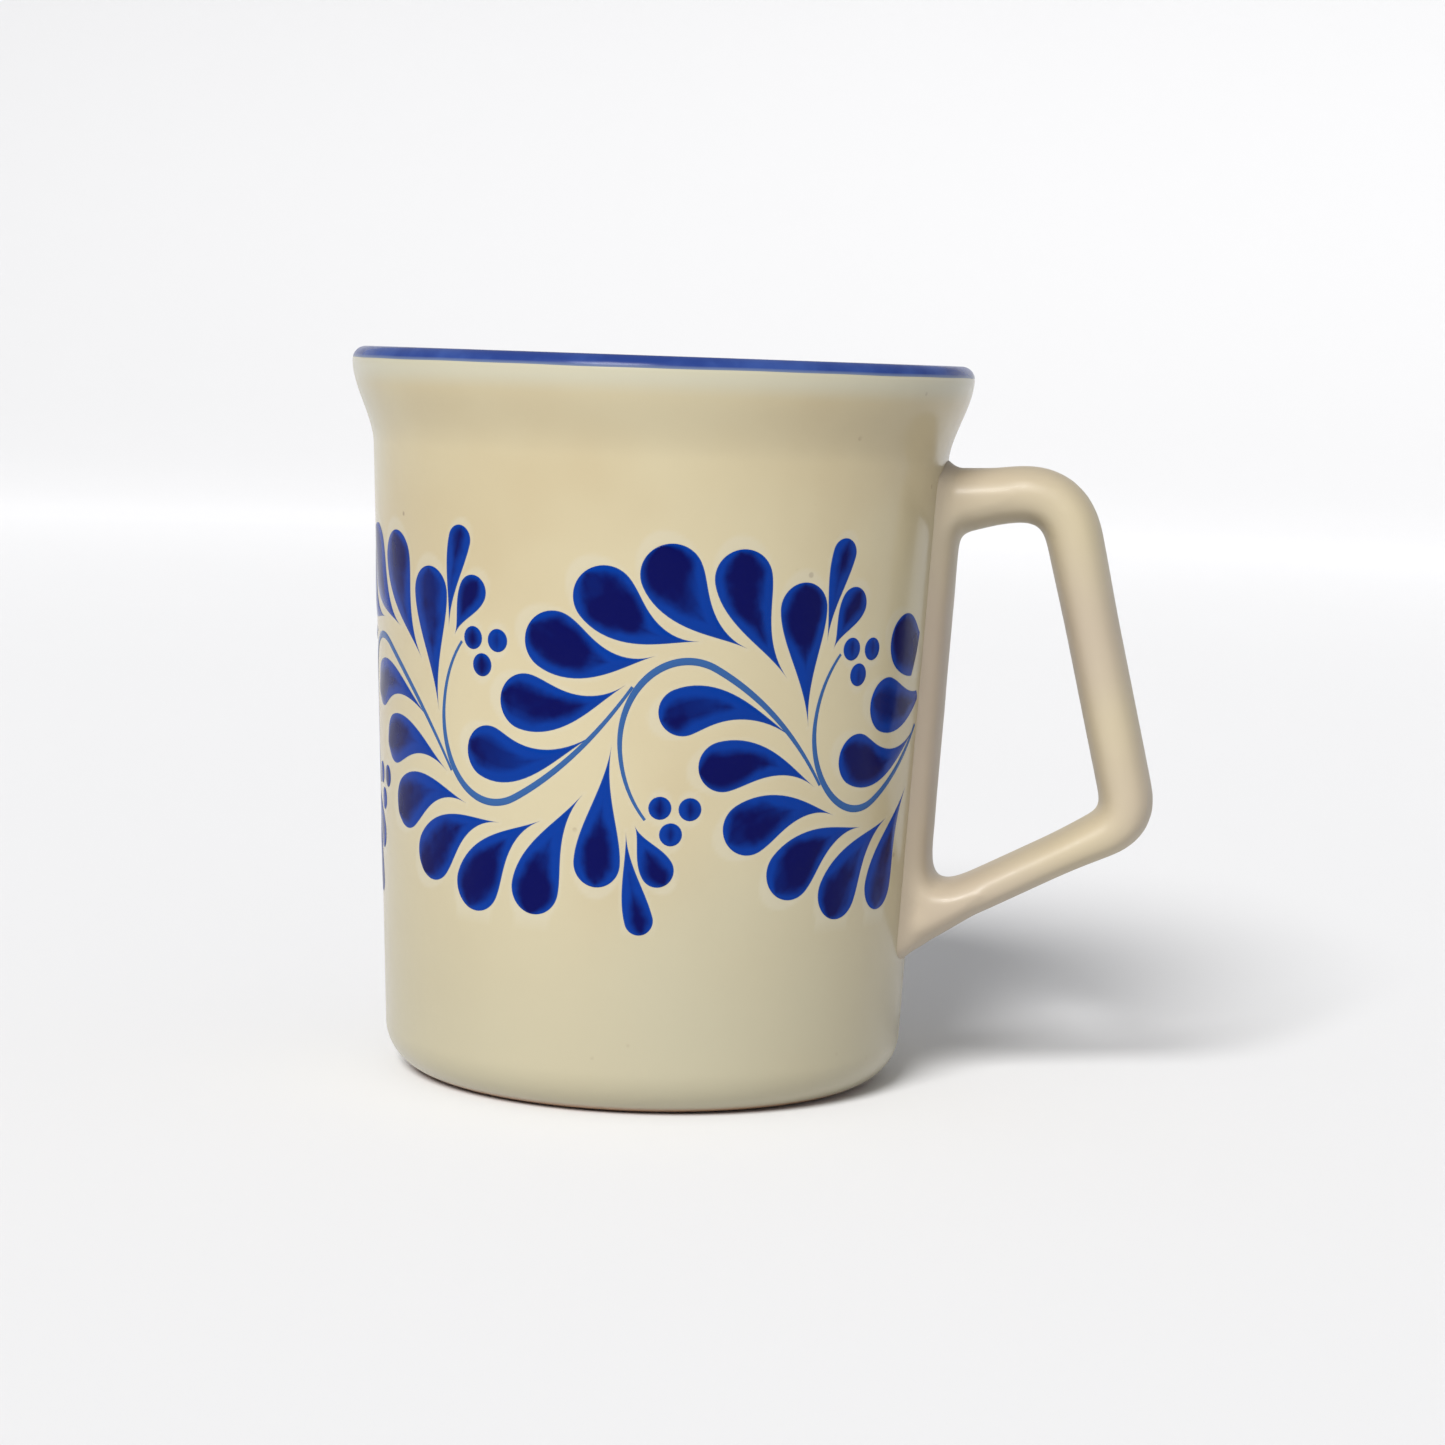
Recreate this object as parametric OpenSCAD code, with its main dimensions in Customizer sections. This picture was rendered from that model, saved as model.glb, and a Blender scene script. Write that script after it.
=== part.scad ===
// A glazed stoneware mug: a tapered, flared cup with an angular strap handle,
// a blue rim line and a scroll of leaf sprays painted round the wall.
// Units are millimetres. The mug stands on z = 0, its axis is Z and the handle points along +X.

/* [Cup] */
// Height of the cup
cup_h = 98; // [88:1:110]
// Radius of the wall's slope carried down to the table
base_r = 35.2; // [33:0.1:37]
// Radius of the wall's slope carried up to the rim
top_r = 39.7; // [38:0.1:41]
// How far the rim flares out beyond the wall's slope
flare_out = 2.6; // [1.5:0.1:3.5]
// Height of the flared zone below the lip
flare_h = 11; // [8:0.5:14]
// Wall thickness
wall_t = 3.6; // [3:0.1:4.5]
// Floor thickness
floor_t = 5; // [4:0.5:7]
// Rounding where the wall meets the underside
foot_round = 6.5; // [4:0.5:8]
// Rounding inside, where the wall meets the floor
floor_round = 9; // [6:0.5:12]
// Height of the rounded lip
lip_h = 1.9; // [1.5:0.1:2.5]

/* [Handle] */
// Width of the handle, across its flat back
handle_w = 13; // [11:0.5:14]
// Thickness of the handle's arms and grip
handle_t = 6.9; // [6:0.1:8]
// Height of the upper bend
upper_bend_z = 82.2; // [78:0.1:83]
// Reach of the upper bend from the cup's axis
upper_reach = 55; // [51:0.5:56]
// Reach of the lower bend from the cup's axis
lower_reach = 65.9; // [62:0.1:66]
// Height of the lower bend
lower_bend_z = 37.8; // [35:0.1:42]
// Height at which the upper arm's centre line meets the wall
upper_arm_z = 79.8; // [78:0.1:81]
// Height at which the lower arm's centre line meets the wall
lower_arm_z = 22; // [20:0.2:26]
// Thickness of the back strap that lies on the wall
strap_t = 2.4; // [2:0.1:3]
// Width of the slip fillet beside the strap
slip_w = 1.2; // [0.8:0.1:1.6]

/* [Painting] */
// Thickness of the painted glaze
paint_t = 0.12; // [0.1:0.01:0.2]
// Height of the scroll's middle line
scroll_z = 50; // [48:1:54]
// Half width of the oval curl at the heart of a spray
curl_w = 8.5; // [7.5:0.1:9]
// Half height of that curl
curl_h = 10.6; // [10:0.1:11]
// Radius of the round end of the biggest leaf in an upright spray
leaf_r = 4; // [3.2:0.1:4.1]
// The same in an upside-down spray
low_leaf_r = 3.6; // [3:0.1:4.1]
// Radius of a berry
berry_r = 1.5; // [1.2:0.1:1.7]
// Width of a stem where it is thickest
stem_w = 0.95; // [0.7:0.05:1.2]
// Height of the blue rim line on the outside of the lip
rim_line_h = 1.9; // [1.5:0.1:2.5]

/* [Hidden] */
$fn = 180;

cream = [0.87, 0.83, 0.69];
slip_cream = [0.82, 0.77, 0.64];
cobalt = [0.06, 0.10, 0.42];
rim_blue = [0.17, 0.26, 0.58];

lip_z = cup_h - lip_h;
flare_z = lip_z - flare_h;
scroll_r = slope_r(scroll_z);
// The handle's curves, as radii of their centre lines
upper_bend_r = 7;
lower_bend_r = 4.6;
// The arms start inside the wall and are cut to fit it
root_depth = 6;
// The bends are a hair thicker than the bars that are let into them
bend_swell = 0.05;
seam_lap = 0.4;
// Every second spray of the scroll is upside down; the first starts beside the strap
spray_count = 9;
spray_turn = 360 / spray_count;
spray_pitch = 2 * PI * scroll_r / spray_count;
first_turn = 44.8;
curl_drop = 0.8;
// Angles on the curl where its stalk comes in and its stem leaves, and where that reaches the next one
curl_start = 187;
curl_end = 66;
curl_join = 219;
// How far the stalk bows out, and how far outside the next curl a stem ends, as a share of its size
stalk_bow = 5;
stem_clear = 1.07;
// Leaves in the fan of a full spray. From the second on, they step clockwise round the curl, with their
// heads on the outer ring, what they lean towards on the middle ring and their tips on the inner one
big_leaves = 7;
head_ring_r = 21.4;
lean_ring_r = 14.2;
tip_ring_r = 9.6;
head_angle = 192;
lean_angle = 197;
tip_angle = 163;
head_step = 23.8;
lean_step = 27;
tip_step = 26;
// The outer and middle rings widen either side of a leaf, the inner one from leaf to leaf
head_widening = 0.13;
head_middle = 2.5;
lean_widening = 0.33;
lean_middle = 2.3;
tip_widening = 1.2;
// Leaves get smaller either side of the biggest
leaf_shrink = 0.018;
biggest_leaf = 3.2;
// Half the depth of the prism that a stroke is cut from
paint_reach = 2.5;
// How far each length of a stem reaches back into the one before
stem_lap = 0.1;
// Bare glaze left beside the slip
strap_gap = 0.4;

// ---- the cup's outline ----

// Radius of the plain tapered wall at a height
function slope_r(z) = base_r + (top_r - base_r) * z / cup_h;

// A smooth step from 0 to 1
function ease(t) = t * t * (3 - 2 * t);

// Outer radius of the wall above the foot, with its flare
function wall_r(z) = slope_r(z) + flare_out * ease(max(0, min(1, (z - flare_z) / flare_h)));

// Points on an ellipse's arc
function arc(centre, size, from, to, steps) =
    [for (i = [0 : steps]) let (a = from + (to - from) * i / steps)
        centre + [size.x * cos(a), size.y * sin(a)]];

// The lip, from its outer edge over the top to its inner edge, swollen by a skin
function lip_arc(skin) =
    arc([wall_r(lip_z) - wall_t / 2, lip_z], [wall_t / 2 + skin, lip_h + skin], 0, 180, 20);

function flare_points(inset, from, to) =
    [for (i = [0 : 8]) let (z = from + (to - from) * i / 8) [wall_r(z) - inset, z]];

module cup_outline() {
    foot_flat = slope_r(foot_round) - foot_round;
    floor_edge = floor_t + floor_round;
    inner_r = slope_r(floor_edge) - wall_t;
    polygon(concat(
        [[0, 0]],
        arc([foot_flat, foot_round], [foot_round, foot_round], -90, 0, 10),
        flare_points(0, flare_z, lip_z),
        lip_arc(0),
        flare_points(wall_t, lip_z, flare_z),
        arc([inner_r - floor_round, floor_edge], [floor_round, floor_round], 0, -90, 12),
        [[0, floor_t]]));
}

// Thrown cup: wall, floor, flat foot and rounded lip in one piece
module cup() {
    color(cream) rotate_extrude() cup_outline();
}

// The wall's plain slope as a solid cone, swollen by a skin
module wall_cone(skin, from = 0, to = cup_h) {
    translate([0, 0, from]) cylinder(h = to - from, r1 = slope_r(from) + skin, r2 = slope_r(to) + skin);
}

// ---- the handle ----

// Section of the arms and grip: flat faces with fully rounded sides
module bar_section(swell = 0) {
    side = (handle_w - handle_t) / 2;
    thickness = handle_t + 2 * swell;
    square([thickness, 2 * side], center = true);
    for (s = [-1, 1]) translate([0, s * side]) circle(d = thickness);
}

// Stands its children on a point of the handle's plane, turned to a direction
module along(point, direction) {
    translate([point.x, 0, point.y]) rotate([0, 90 - atan2(direction.y, direction.x), 0]) children();
}

function unit(v) = v / norm(v);

// A straight bar between two points of the handle's plane, let a little into the bends at its ends
module bar(from, to) {
    direction = unit(to - from);
    along(from - direction * seam_lap, direction)
        linear_extrude(norm(to - from) + 2 * seam_lap) bar_section();
}

// How much of each leg a bend of radius r takes at a corner
function bend_cut(before, corner, after, r) =
    r * tan(acos(unit(corner - before) * unit(after - corner)) / 2);

// A rounded bend at a corner, turning clockwise
module bend(before, corner, after, r) {
    leg = unit(corner - before);
    turn = acos(leg * unit(after - corner));
    start = corner - leg * bend_cut(before, corner, after, r);
    along(start, leg) translate([r, 0, 0]) rotate([90, 0, 0]) rotate([0, 0, 180 - turn])
        rotate_extrude(angle = turn) translate([r, 0]) bar_section(bend_swell);
}

// Point inside the wall on an arm that runs from the wall at height z to a bend
function arm_root(z, corner) =
    let (on_wall = [slope_r(z), z]) on_wall - root_depth * unit(corner - on_wall);

// Upper arm, grip and lower arm, as one bent bar
module bent_bar() {
    b = [upper_reach, upper_bend_z];
    c = [lower_reach, lower_bend_z];
    a = arm_root(upper_arm_z, b);
    d = arm_root(lower_arm_z, c);
    cut_b = bend_cut(a, b, c, upper_bend_r);
    cut_c = bend_cut(b, c, d, lower_bend_r);
    bar(a, b - unit(b - a) * cut_b);
    bend(a, b, c, upper_bend_r);
    bar(b + unit(c - b) * cut_b, c - unit(c - b) * cut_c);
    bend(b, c, d, lower_bend_r);
    bar(c + unit(d - c) * cut_c, d);
}

// A strip that lies on the wall in front, with rounded long edges
module wall_strip(width, thickness, round, from, to) {
    lean = atan((top_r - base_r) / cup_h);
    translate([slope_r(from), 0, from]) rotate([0, lean, 0]) linear_extrude((to - from) / cos(lean)) {
        translate([-wall_t, -width / 2]) square([wall_t + thickness - round, width]);
        translate([-wall_t, round - width / 2]) square([wall_t + thickness, width - 2 * round]);
        for (s = [-1, 1]) translate([thickness - round, s * (width / 2 - round)]) circle(r = round);
    }
}

// The strap that closes the handle's loop along the wall
module back_strap() {
    wall_strip(handle_w, strap_t, 1.4, lower_arm_z - handle_t / 2, upper_arm_z + handle_t / 2);
}

// The angular handle: a closed loop, fitted to the wall
module handle() {
    color(slip_cream) difference() {
        union() {
            bent_bar();
            back_strap();
        }
        wall_cone(0);
    }
}

// Slip that fills the corners between the strap and the wall
module handle_slip() {
    color(slip_cream) difference() {
        wall_strip(handle_w + 2 * slip_w, 0.9, 0.4, lower_arm_z - 3, upper_arm_z + 2);
        wall_cone(0);
        back_strap();
    }
}

// ---- the painting ----

// Blue line over the lip
module rim_line() {
    inner = concat([[wall_r(cup_h - rim_line_h), cup_h - rim_line_h]], lip_arc(0));
    outer = concat([[wall_r(cup_h - rim_line_h) + paint_t, cup_h - rim_line_h]], lip_arc(paint_t));
    color(rim_blue) rotate_extrude()
        polygon(concat(inner, [for (i = [len(outer) - 1 : -1 : 0]) outer[i]]));
}

// Point at fraction t of a curve from a to c that leans towards b
function curve(a, b, c, t) = (1 - t) * (1 - t) * a + 2 * t * (1 - t) * b + t * t * c;

function turned(v, angle) = [v.x * cos(angle) - v.y * sin(angle), v.x * sin(angle) + v.y * cos(angle)];

function on_ring(r, angle) = r * [cos(angle), sin(angle)];

// Both edges of a stroke that follows a line of points, given its half widths
function stroke_edge(line, half, side) =
    [for (i = [0 : len(line) - 1])
        let (ahead = line[min(i + 1, len(line) - 1)], behind = line[max(i - 1, 0)])
        line[i] + side * half[i] * turned(unit(ahead - behind), 90)];

// Half width of a leaf's tail, as a share of its head's radius
function leaf_taper(t) = pow(1 - t, 2.1) * (1 + 2.1 * t);

// Outline of a leaf: a round head that leans towards one point and runs out to its tip in a thin tail
function leaf_outline(leaf) =
    let (head = leaf[0],
         r = leaf[3],
         facing = atan2(leaf[1].y - head.y, leaf[1].x - head.x),
         line = [for (i = [0 : 8]) curve(head, leaf[1], leaf[2], i / 8)],
         half = [for (i = [0 : 8]) r * leaf_taper(i / 8)],
         left = stroke_edge(line, half, 1),
         right = stroke_edge(line, half, -1))
    concat(arc(head, [r, r], facing + 90, facing + 270, 12),
           [for (i = [1 : 8]) right[i]],
           [for (i = [7 : -1 : 1]) left[i]]);

// Point of the curl at an angle, and the way a stem that goes clockwise round it is heading there
function on_curl(angle) = [curl_w * cos(angle), curl_h * sin(angle)];
function curl_way(angle) = unit([curl_w * sin(angle), -curl_h * cos(angle)]);

// A line of points from one place and heading to another
function swoop(from, way, to, arrival) =
    let (pull = norm(to - from) / 3, b = from + pull * way, c = to - pull * arrival)
    [for (i = [1 : 8]) let (t = i / 8) (1 - t) * curve(from, b, c, t) + t * curve(b, c, to, t)];

// Centre line of a stem: up its stalk from the berries, round the curl, then down beside the next curl
stalk_start = [-5, -9.9];
stalk_lean = on_curl(curl_start) - stalk_bow * curl_way(curl_start);
stem_join = [spray_pitch, 2 * curl_drop] + stem_clear * on_curl(curl_join);
stalk_line = [for (i = [0 : 3]) curve(stalk_start, stalk_lean, on_curl(curl_start), i / 4)];
curl_line = concat(
    [for (i = [0 : 12]) on_curl(curl_start + (curl_end - curl_start) * i / 12)],
    swoop(on_curl(curl_end), curl_way(curl_end), stem_join, -curl_way(curl_join)));
function stem_half(i, count) = stem_w / 2 * (0.4 + 0.6 * sin(180 * i / (count - 1)));

// A leaf is [head, lean, tip, radius]. The fan's first leaf lies under the stem of the spray before
first_leaf = [[-26.8, -2.5], [-20.5, -5.3], [-11.7, 0.9]];
first_leaf_size = 0.86;
function fan_leaf(i, r) = i == 0
    ? concat(first_leaf, r * first_leaf_size)
    : [on_ring(head_ring_r + head_widening * pow(i - head_middle, 2), head_angle - head_step * i),
       on_ring(lean_ring_r + lean_widening * pow(i - lean_middle, 2), lean_angle - lean_step * i),
       on_ring(tip_ring_r + tip_widening * i, tip_angle - tip_step * i),
       r * (1 - leaf_shrink * pow(i - biggest_leaf, 2))];

// The two small leaves and the three berries at the foot of a spray
sprig = [[[-5.4, -23], [-7.1, -17.2], [-7.4, -11.4], 1.9],
         [[-3.2, -16.4], [-5.2, -13.2], [-6.3, -10.6], 2.2]];
berry_spot = [-1.3, -9.4];
berries = [[-1.8, 1.1], [2.1, 1], [-0.3, -2.3]];

// The scroll starts and ends at the strap, so its first and last sprays leave out the leaves it would cover
function fan_leaves(n) =
    n == 0 ? [2 : big_leaves - 1] :
    n == spray_count - 2 ? [0 : big_leaves - 2] :
    n == spray_count - 1 ? [0 : 2] : [0 : big_leaves - 1];

// A stroke of paint: its outline stood on the wall as a short radial prism
module stroke(outline, flip) {
    middle = (max([for (p = outline) p.x]) + min([for (p = outline) p.x])) / 2;
    rotate([0, 0, middle / scroll_r * 180 / PI])
        translate([slope_r(0), 0, scroll_z]) rotate([90, 0, 90]) linear_extrude(2 * paint_reach)
            polygon([for (p = outline) [p.x - middle, flip * (p.y - curl_drop)]]);
}

// The stem in short lengths that overlap a little, so that it bends round the wall
module stem(flip) {
    line = concat(stalk_line, curl_line);
    count = len(line);
    step = 3;
    for (first = [0 : step : count - 2]) {
        last = min(first + step, count - 1);
        start = line[first] - stem_lap * unit(line[first + 1] - line[first]);
        piece = concat([start], [for (i = [first + 1 : last]) line[i]]);
        half = [for (i = [first : last]) stem_half(i, count)];
        right = stroke_edge(piece, half, -1);
        stroke(concat(stroke_edge(piece, half, 1), [for (i = [len(right) - 1 : -1 : 0]) right[i]]), flip);
    }
}

// One spray: stem, fan of leaves, two small leaves and three berries
module spray_strokes(leaves, flip) {
    head_r = flip > 0 ? leaf_r : low_leaf_r;
    stem(flip);
    for (i = leaves) stroke(leaf_outline(fan_leaf(i, head_r)), flip);
    for (leaf = sprig) stroke(leaf_outline(leaf), flip);
    for (b = berries) stroke(arc(berry_spot + [b.x, flip * b.y], [berry_r, berry_r], 0, 345, 23), flip);
}

// Spray number n, counted round from the strap; the last one ends where it meets the strap again
module spray(n) {
    clear = handle_w / 2 + slip_w + strap_gap;
    far = n == spray_count - 1 ? top_r : clear;
    color(cobalt) difference() {
        intersection() {
            rotate([0, 0, first_turn + n * spray_turn]) spray_strokes(fan_leaves(n), n % 2 == 0 ? 1 : -1);
            wall_cone(paint_t, foot_round, flare_z);
        }
        wall_cone(0);
        translate([0, -clear, 0]) cube([2 * top_r, clear + far, cup_h]);
    }
}

cup();
handle();
handle_slip();
rim_line();
for (n = [0 : spray_count - 1]) spray(n);
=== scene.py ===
"""A glazed stoneware mug with a cobalt leaf scroll, on a pale sweep. Metres, +Z up, handle along +X."""

import math

import bpy
import numpy as np
from mathutils import Matrix, Vector


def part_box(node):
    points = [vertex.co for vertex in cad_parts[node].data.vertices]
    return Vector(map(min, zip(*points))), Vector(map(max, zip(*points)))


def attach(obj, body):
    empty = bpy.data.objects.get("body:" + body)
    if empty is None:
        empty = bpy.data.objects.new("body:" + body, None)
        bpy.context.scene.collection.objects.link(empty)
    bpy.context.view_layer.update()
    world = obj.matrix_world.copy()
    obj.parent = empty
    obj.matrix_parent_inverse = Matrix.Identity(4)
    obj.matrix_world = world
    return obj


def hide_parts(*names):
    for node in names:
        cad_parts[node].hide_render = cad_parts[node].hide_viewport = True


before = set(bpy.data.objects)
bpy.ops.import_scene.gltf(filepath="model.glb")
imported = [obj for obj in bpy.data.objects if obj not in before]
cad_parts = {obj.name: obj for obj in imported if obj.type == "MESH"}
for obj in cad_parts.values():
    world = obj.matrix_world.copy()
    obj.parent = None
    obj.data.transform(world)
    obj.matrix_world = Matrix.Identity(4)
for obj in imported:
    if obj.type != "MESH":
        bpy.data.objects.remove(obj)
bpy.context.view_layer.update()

MM = 0.001
TAU = 2 * math.pi


# ---- driving dimensions: the frame's box of the cup, then the cup's own sizes ----

CUP_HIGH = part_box("cup")[1]
CUP_H = CUP_HIGH[2]
RIM_R = CUP_HIGH[0]

WALL_T = 3.6 * MM
FLOOR_T = 5 * MM
FOOT_ROUND = 6.5 * MM
FLOOR_ROUND = 9 * MM
LIP_H = 1.9 * MM
BASE_R = 35.2 * MM
TOP_R = 39.7 * MM
LIP_ROOT_R = 39.61 * MM
FLARE_OUT = RIM_R - LIP_ROOT_R
FLARE_H = 11 * MM
LIP_Z = CUP_H - LIP_H
FLARE_Z = LIP_Z - FLARE_H
PAINT_T = 0.12 * MM
HANDLE_W = 13 * MM

SPRAYS = 9
FIRST_TURN = math.radians(44.8)
SCROLL_Z = 50 * MM
STRAP_CLEAR = HANDLE_W / 2 + 1.6 * MM

# The scroll's strokes, in millimetres and degrees. A stem runs clockwise round its spray's oval curl,
# from CURL_START to CURL_END, then swoops down beside the next curl as far as CURL_JOIN.
# LEAF_R is the biggest leaf's radius in upright and in hanging sprays.
CURL_W = 8.5
CURL_H = 10.6
CURL_DROP = 0.8
CURL_START = 187
CURL_END = 66
CURL_JOIN = 219
STALK_BOW = 5
STEM_CLEAR = 1.07
LEAF_R = {1: 4.0, -1: 3.6}
BERRY_R = 1.5
STEM_W = 0.95
BIG_LEAVES = 7
# The heads, the leans and the tips of the fan's leaves stand on three rings round the curl. Each ring
# has its radius, the angle of its first leaf, the step to the next and how it widens to the sides.
HEAD_RING_R, LEAN_RING_R, TIP_RING_R = 21.4, 14.2, 9.6
HEAD_ANGLE, LEAN_ANGLE, TIP_ANGLE = 192, 197, 163
HEAD_STEP, LEAN_STEP, TIP_STEP = 23.8, 27, 26
HEAD_WIDENING, LEAN_WIDENING, TIP_WIDENING = 0.13, 0.33, 1.2
HEAD_MIDDLE, LEAN_MIDDLE = 2.5, 2.3
LEAF_SHRINK = 0.018
BIGGEST_LEAF = 3.2
FIRST_LEAF_SIZE = 0.86


def ramp(value, start, end):
    """0 at start and before it, 1 at end and past it, smooth between; end may be the lower of the two."""
    t = min(1.0, max(0.0, (value - start) / (end - start)))
    return t * t * (3 - 2 * t)


def slope_r(z):
    """Radius of the cup's plain taper at a height."""
    return BASE_R + (TOP_R - BASE_R) * z / CUP_H


def wall_r(z):
    """Outer radius of the cup above its foot."""
    return slope_r(z) + FLARE_OUT * ramp(z, FLARE_Z, LIP_Z)


SCROLL_R = slope_r(SCROLL_Z)
SPRAY_PITCH = TAU * SCROLL_R / SPRAYS


def spray_middle(number):
    """How far round the wall a spray's curl stands from the strap."""
    return FIRST_TURN * SCROLL_R + number * SPRAY_PITCH


def short_way(x):
    """A distance round the wall, taken the shorter way, so from minus to plus half way round."""
    around = TAU * SCROLL_R
    return (x + around / 2) % around - around / 2


# ---- mesh helpers ----


def steps(start, end, count):
    """Evenly spaced numbers from start to end, both included."""
    return [start + (end - start) * i / count for i in range(count + 1)]


def new_object(name, verts, faces):
    mesh = bpy.data.meshes.new(name)
    mesh.from_pydata([tuple(v) for v in verts], [], faces)
    mesh.validate()
    mesh.polygons.foreach_set("use_smooth", [True] * len(mesh.polygons))
    mesh.update()
    piece = bpy.data.objects.new(name, mesh)
    bpy.context.collection.objects.link(piece)
    return piece


def set_attribute(piece, name, values):
    layer = piece.data.attributes.new(name, "FLOAT", "POINT")
    layer.data.foreach_set("value", np.asarray(values, dtype=np.float32))


def grid_faces(rows, columns, first=0, closed=False, flip=False):
    """Quads of a grid of points stored row by row; closed joins the last column to the first."""
    faces = []
    for row in range(rows - 1):
        for column in range(columns if closed else columns - 1):
            right = (column + 1) % columns
            a, b = first + row * columns + column, first + row * columns + right
            quad = (a, b, b + columns, a + columns)
            faces.append(quad[::-1] if flip else quad)
    return faces


def arc(centre, size, start, end, count):
    """Points on an ellipse's arc, angles in degrees."""
    return [(centre[0] + size[0] * math.cos(a), centre[1] + size[1] * math.sin(a))
            for a in map(math.radians, steps(start, end, count))]


def rings(outline, segments):
    """The points of an outline of (radius, z), each carried round the Z axis."""
    turns = [TAU * k / segments for k in range(segments)]
    return [(radius * math.cos(turn), radius * math.sin(turn), z) for radius, z in outline for turn in turns]


def lathe(name, outline, segments):
    """A solid of revolution about Z. The outline's first and last points lie on the axis."""
    rows = len(outline) - 2
    verts = rings(outline[1:-1], segments)
    faces = grid_faces(rows, segments, closed=True)
    for end, row in ((outline[0], 0), (outline[-1], rows - 1)):
        verts.append((0, 0, end[1]))
        centre = len(verts) - 1
        for k in range(segments):
            a, b = row * segments + k, row * segments + (k + 1) % segments
            faces.append((centre, b, a) if row == 0 else (centre, a, b))
    return new_object(name, verts, faces)


# ---- materials ----


class Nodes:
    """Short calls for building a node material."""

    def __init__(self, name):
        self.material = bpy.data.materials.new(name)
        self.material.use_nodes = True
        self.tree = self.material.node_tree
        self.shader = self.tree.nodes["Principled BSDF"]
        self.place = self.add("ShaderNodeTexCoord").outputs["Object"]

    def add(self, kind, **values):
        node = self.tree.nodes.new(kind)
        for key, value in values.items():
            if key in node.inputs:
                node.inputs[key].default_value = value
            else:
                setattr(node, key, value)
        return node

    def join(self, source, target):
        self.tree.links.new(source, target)

    def noise(self, scale, detail):
        node = self.add("ShaderNodeTexNoise", Scale=scale, Detail=detail)
        self.join(self.place, node.inputs["Vector"])
        return node.outputs["Fac"]

    def spots(self, scale):
        """Distance to the nearest of many scattered points."""
        node = self.add("ShaderNodeTexVoronoi", Scale=scale)
        self.join(self.place, node.inputs["Vector"])
        return node.outputs["Distance"]

    def attribute(self, name):
        return self.add("ShaderNodeAttribute", attribute_name=name).outputs["Fac"]

    def height(self):
        split = self.add("ShaderNodeSeparateXYZ")
        self.join(self.place, split.inputs["Vector"])
        return split.outputs["Z"]

    def remap(self, source, low, high, to_low=0.0, to_high=1.0):
        node = self.add("ShaderNodeMapRange", interpolation_type="SMOOTHSTEP")
        for key, value in zip(("From Min", "From Max", "To Min", "To Max"), (low, high, to_low, to_high)):
            node.inputs[key].default_value = value
        self.join(source, node.inputs["Value"])
        return node.outputs["Result"]

    def patches(self, scale, detail, low, high, to_low=0.0, to_high=1.0):
        """Noise sharpened into patches: to_low where it is below low, to_high where it is above high."""
        return self.remap(self.noise(scale, detail), low, high, to_low, to_high)

    def mix(self, amount, first, second):
        """A mix of two colours; each is a colour or an output."""
        node = self.add("ShaderNodeMix", data_type="RGBA")
        for value, socket in ((amount, node.inputs[0]), (first, node.inputs[6]), (second, node.inputs[7])):
            if isinstance(value, tuple):
                socket.default_value = (*value, 1.0)
            else:
                self.join(value, socket)
        return node.outputs[2]

    def math(self, operation, first, second):
        node = self.add("ShaderNodeMath", operation=operation)
        for value, socket in ((first, node.inputs[0]), (second, node.inputs[1])):
            if isinstance(value, (int, float)):
                socket.default_value = value
            else:
                self.join(value, socket)
        return node.outputs[0]

    def bump(self, height, distance):
        node = self.add("ShaderNodeBump", Distance=distance)
        self.join(height, node.inputs["Height"])
        self.join(node.outputs["Normal"], self.shader.inputs["Normal"])

    def finish(self, colour, roughness, coat=0.12, specular=0.35):
        """The finished material; coat is how strong the glassy layer over it is."""
        self.join(colour, self.shader.inputs["Base Color"])
        self.join(roughness, self.shader.inputs["Roughness"])
        self.shader.inputs["IOR"].default_value = GLAZE_IOR
        self.shader.inputs["Specular IOR Level"].default_value = specular
        self.shader.inputs["Coat Weight"].default_value = coat
        self.shader.inputs["Coat Roughness"].default_value = COAT_ROUGHNESS
        return self.material


CREAM = (0.48, 0.42, 0.275)
CREAM_WARM = (0.445, 0.375, 0.235)
CREAM_COOL = (0.45, 0.42, 0.30)
HALO = (0.49, 0.465, 0.375)
SPECK = (0.16, 0.11, 0.07)
# Painted highlight: a pale band on the flare just under the lip.
LIP_PAINTED_HIGHLIGHT = (0.45, 0.435, 0.34)
FOOT_GREY = (0.38, 0.35, 0.25)
BARE_CLAY = (0.36, 0.18, 0.09)
# Pinker handle glaze, made darker as painted shade for the cup's shadow on the handle.
HANDLE_PINK_AND_SHADE = (0.395, 0.33, 0.257)
NAVY = (0.0004, 0.0015, 0.065)
COBALT = (0.001, 0.03, 0.23)
STEM_BLUE = (0.03, 0.09, 0.25)
RIM_BLUE = (0.016, 0.038, 0.18)
RIM_BLUE_THIN = (0.03, 0.065, 0.24)
RIM_EDGE = (0.15, 0.19, 0.28)

GLAZE_IOR = 1.5
COAT_ROUGHNESS = 0.04
BODY_PEEL = 0.04 * MM
HANDLE_PEEL = 0.07 * MM
PAINT_PEEL = 0.06 * MM
PAINT_PEEL_SCALE = 240
PEEL_DETAIL = 2
FOOT_TINT_TOP = 52 * MM
BARE_TOP, BARE_FULL = 1.3 * MM, 0.5 * MM
# Where the painted highlight under the lip starts and where it is full.
LIP_HIGHLIGHT_START, LIP_HIGHLIGHT_FULL = LIP_Z - 3.4 * MM, LIP_Z - 0.6 * MM
TINT_DEPTH = 0.8
TAIL_THINNING = 0.45
SPECK_DEPTH = 0.55


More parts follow.
